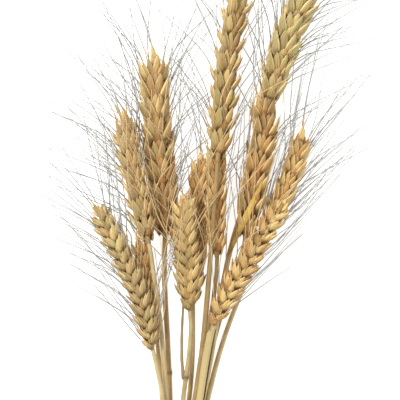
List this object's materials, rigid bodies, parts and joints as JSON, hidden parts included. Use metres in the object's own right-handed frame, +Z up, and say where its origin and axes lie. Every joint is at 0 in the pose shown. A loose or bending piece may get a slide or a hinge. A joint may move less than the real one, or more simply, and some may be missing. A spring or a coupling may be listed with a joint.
{
  "type": "dried wheat bunch",
  "caption": "Loose fan of dried bearded wheat ears on long straws, with two dry leaves, tied with twine and lying on a flat surface.",
  "frame": {"origin": "on the surface that the bunch lies on, under the middle of its box", "axes": "+Y along the bunch from the cut ends to the ears, +Z up from the surface, +X to the right as the picture shows the ears"},
  "size_m": [0.2199, 0.4777, 0.0577],
  "materials": {
    "ear_olive": "dry matt chaff, olive tan",
    "ear_gold": "dry matt chaff, golden",
    "ear_rust": "dry matt chaff, rust brown",
    "straw": "dry satin straw, finely ribbed",
    "leaf": "dry papery leaf",
    "twine": "rough twisted plant fibre"
  },
  "bodies": {
    "root": {"ear_left_front": "ear_olive", "ear_left_back": "ear_rust", "ear_left": "ear_olive", "ear_left_tall": "ear_olive", "ear_centre_front": "ear_gold", "ear_centre_back": "ear_rust", "ear_centre": "ear_rust", "ear_centre_tall": "ear_gold", "ear_right_tall": "ear_olive", "ear_right_mid": "ear_rust", "ear_right": "ear_rust", "ear_right_front": "ear_gold", "straw_left_front": "straw", "straw_left_back": "straw", "straw_left": "straw", "straw_left_tall": "straw", "straw_centre_front": "straw", "straw_centre_back": "straw", "straw_centre": "straw", "straw_centre_tall": "straw", "straw_right_tall": "straw", "straw_right_mid": "straw", "straw_right": "straw", "straw_right_front": "straw", "leaf_flat": "leaf", "leaf_rolled": "straw", "tie_twine": "twine"}
  },
  "joints": []
}
